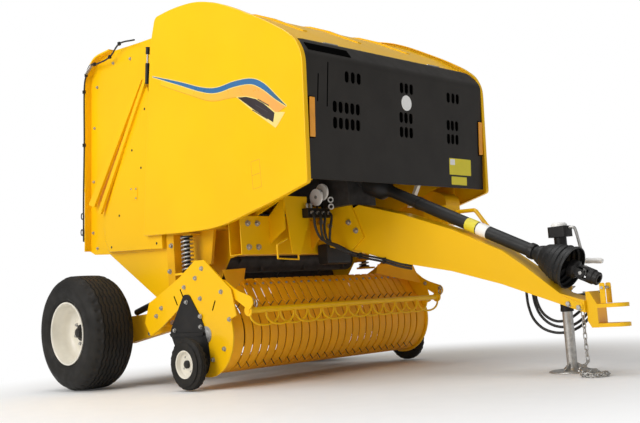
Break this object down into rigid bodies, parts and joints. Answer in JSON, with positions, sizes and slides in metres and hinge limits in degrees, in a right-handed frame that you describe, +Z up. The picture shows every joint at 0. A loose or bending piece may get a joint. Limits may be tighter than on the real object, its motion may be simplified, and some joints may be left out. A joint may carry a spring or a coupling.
{
  "type": "round baler",
  "caption": "Towed round hay baler with a low pickup, drawbar, driveline, parking jack, opening tailgate, side and front shields and two wide tyres.",
  "frame": {"origin": "middle of the whole machine's box, on the floor it stands on", "axes": "+X forward to the hitch, +Y to the machine's left, +Z up"},
  "size_m": [3.879, 2.5, 2.492],
  "materials": {
    "yellow_paint": "gloss",
    "dark_panel": "satin",
    "black_paint": "satin",
    "black_plastic": "satin",
    "dark_casting": "satin",
    "tyre_rubber": "matte",
    "belt_rubber": "matte",
    "rim_cream": "satin",
    "zinc": "satin",
    "bare_steel": "satin",
    "bright_chrome": "polished",
    "hose_rubber": "satin"
  },
  "bodies": {
    "chassis": {"axle_frame": "yellow_paint", "chamber_wall_left": "yellow_paint", "chamber_wall_right": "yellow_paint", "side_frame_left": "yellow_paint", "side_frame_right": "yellow_paint", "front_crossbeam": "yellow_paint", "hose_bracket": "yellow_paint", "tongue": "yellow_paint", "hitch_clevis": "yellow_paint", "gearbox": "dark_casting", "driveline_guard": "black_plastic", "jack_tube": "black_paint", "top_cover": "yellow_paint", "floor_roll": "dark_casting", "starter_roll": "dark_casting", "front_belts": "belt_rubber", "float_spring_left": "black_paint", "float_spring_right": "black_paint", "hose_clamp_rear": "black_plastic", "hose_clamp_front": "black_plastic", "hydraulic_hose_1": "hose_rubber", "hydraulic_hose_2": "hose_rubber", "hydraulic_hose_3": "hose_rubber", "safety_chain": "zinc", "safety_chain_heap": "zinc", "driveline_rest": "yellow_paint", "twine_guides": "black_paint"},
    "main_wheel_left": {"tyre_left": "tyre_rubber", "wheel_left": "rim_cream"},
    "side_shield_left": {"side_shield_left": "yellow_paint"},
    "cylinder_barrel_left": {"cylinder_barrel_left": "black_paint"},
    "cylinder_rod_left": {"cylinder_rod_left": "bright_chrome"},
    "gauge_wheel_left": {"gauge_wheel_left": "tyre_rubber"},
    "main_wheel_right": {"tyre_right": "tyre_rubber", "wheel_right": "rim_cream"},
    "side_shield_right": {"side_shield_right": "yellow_paint"},
    "cylinder_barrel_right": {"cylinder_barrel_right": "black_paint"},
    "cylinder_rod_right": {"cylinder_rod_right": "bright_chrome"},
    "gauge_wheel_right": {"gauge_wheel_right": "tyre_rubber"},
    "front_shield": {"front_shield": "dark_panel"},
    "tailgate": {"tailgate_panel_left": "yellow_paint", "tailgate_panel_right": "yellow_paint", "tailgate_wall_left": "yellow_paint", "tailgate_wall_right": "yellow_paint", "tailgate_rear_cover": "yellow_paint", "tailgate_roll": "dark_casting", "tailgate_belts": "belt_rubber"},
    "pickup": {"pickup_bands": "yellow_paint", "pickup_side_left": "yellow_paint", "pickup_side_right": "yellow_paint", "gauge_wheel_arm_left": "black_paint", "gauge_wheel_arm_right": "black_paint"},
    "pickup_reel": {"pickup_reel": "bare_steel"},
    "wind_guard": {"wind_guard": "yellow_paint"},
    "feed_rotor": {"feed_rotor": "dark_casting"},
    "driveline_shaft": {"driveline_shaft": "bare_steel"},
    "jack_leg": {"jack_leg": "zinc"}
  },
  "joints": [
    {"name": "wheel_spin_left", "type": "hinge", "parent": "chassis", "child": "main_wheel_left", "pos_m": [-1.5405, 1.08, 0.3935], "axis": [0, 1, 0], "continuous": true},
    {"name": "gauge_wheel_spin_left", "type": "hinge", "parent": "pickup", "child": "gauge_wheel_left", "pos_m": [-0.4325, 1.0385, 0.164], "axis": [0, 1, 0], "continuous": true},
    {"name": "side_shield_hinge_left", "type": "hinge", "parent": "chassis", "child": "side_shield_left", "pos_m": [-0.6105, 0.845, 2.477], "axis": [1, 0, 0], "range_deg": [0, 80]},
    {"name": "wheel_spin_right", "type": "hinge", "parent": "chassis", "child": "main_wheel_right", "pos_m": [-1.5405, -1.08, 0.3935], "axis": [0, 1, 0], "continuous": true},
    {"name": "gauge_wheel_spin_right", "type": "hinge", "parent": "pickup", "child": "gauge_wheel_right", "pos_m": [-0.4325, -1.0385, 0.164], "axis": [0, 1, 0], "continuous": true},
    {"name": "side_shield_hinge_right", "type": "hinge", "parent": "chassis", "child": "side_shield_right", "pos_m": [-0.6105, -0.845, 2.477], "axis": [-1, 0, 0], "range_deg": [0, 80]},
    {"name": "tailgate_hinge", "type": "hinge", "parent": "chassis", "child": "tailgate", "pos_m": [-0.7955, 0, 2.3], "axis": [0, 1, 0], "range_deg": [0, 60]},
    {"name": "cylinder_base_left", "type": "hinge", "parent": "chassis", "child": "cylinder_barrel_left", "pos_m": [-1.0105, 0.748, 1.2], "axis": [0, 1, 0], "range_deg": [0, 3]},
    {"name": "cylinder_slide_left", "type": "slide", "parent": "cylinder_barrel_left", "child": "cylinder_rod_left", "axis": [0.077, 0, 0.997], "range_m": [0, 0.125]},
    {"name": "cylinder_base_right", "type": "hinge", "parent": "chassis", "child": "cylinder_barrel_right", "pos_m": [-1.0105, -0.748, 1.2], "axis": [0, 1, 0], "range_deg": [0, 3]},
    {"name": "cylinder_slide_right", "type": "slide", "parent": "cylinder_barrel_right", "child": "cylinder_rod_right", "axis": [0.077, 0, 0.997], "range_m": [0, 0.125]},
    {"name": "front_shield_hinge", "type": "hinge", "parent": "chassis", "child": "front_shield", "pos_m": [0.4445, 0, 2.03], "axis": [0, -1, 0], "range_deg": [0, 75]},
    {"name": "pickup_lift", "type": "hinge", "parent": "chassis", "child": "pickup", "pos_m": [-0.9405, 0, 0.43], "axis": [0, -1, 0], "range_deg": [0, 15], "deforming": ["float_spring_left", "float_spring_right"]},
    {"name": "reel_spin", "type": "hinge", "parent": "pickup", "child": "pickup_reel", "pos_m": [-0.3805, 0, 0.335], "axis": [0, 1, 0], "continuous": true},
    {"name": "wind_guard_hinge", "type": "hinge", "parent": "pickup", "child": "wind_guard", "pos_m": [-0.2105, 0, 0.64], "axis": [0, -1, 0], "range_deg": [-8, 15]},
    {"name": "rotor_spin", "type": "hinge", "parent": "chassis", "child": "feed_rotor", "pos_m": [-0.6105, 0, 0.8], "axis": [0, 1, 0], "continuous": true},
    {"name": "driveline_spin", "type": "hinge", "parent": "chassis", "child": "driveline_shaft", "pos_m": [0.2595, 0, 1.227], "axis": [0.903, 0, -0.4297], "continuous": true},
    {"name": "jack_slide", "type": "slide", "parent": "chassis", "child": "jack_leg", "axis": [0, 0, 1], "range_m": [0, 0.18]}
  ],
  "couplings": [
    {"joint": "cylinder_base_left", "follows": "tailgate_hinge", "ratio": 0.0439},
    {"joint": "cylinder_slide_left", "follows": "tailgate_hinge", "m_per_rad": 0.1132},
    {"joint": "cylinder_base_right", "follows": "tailgate_hinge", "ratio": 0.0439},
    {"joint": "cylinder_slide_right", "follows": "tailgate_hinge", "m_per_rad": 0.1132}
  ]
}
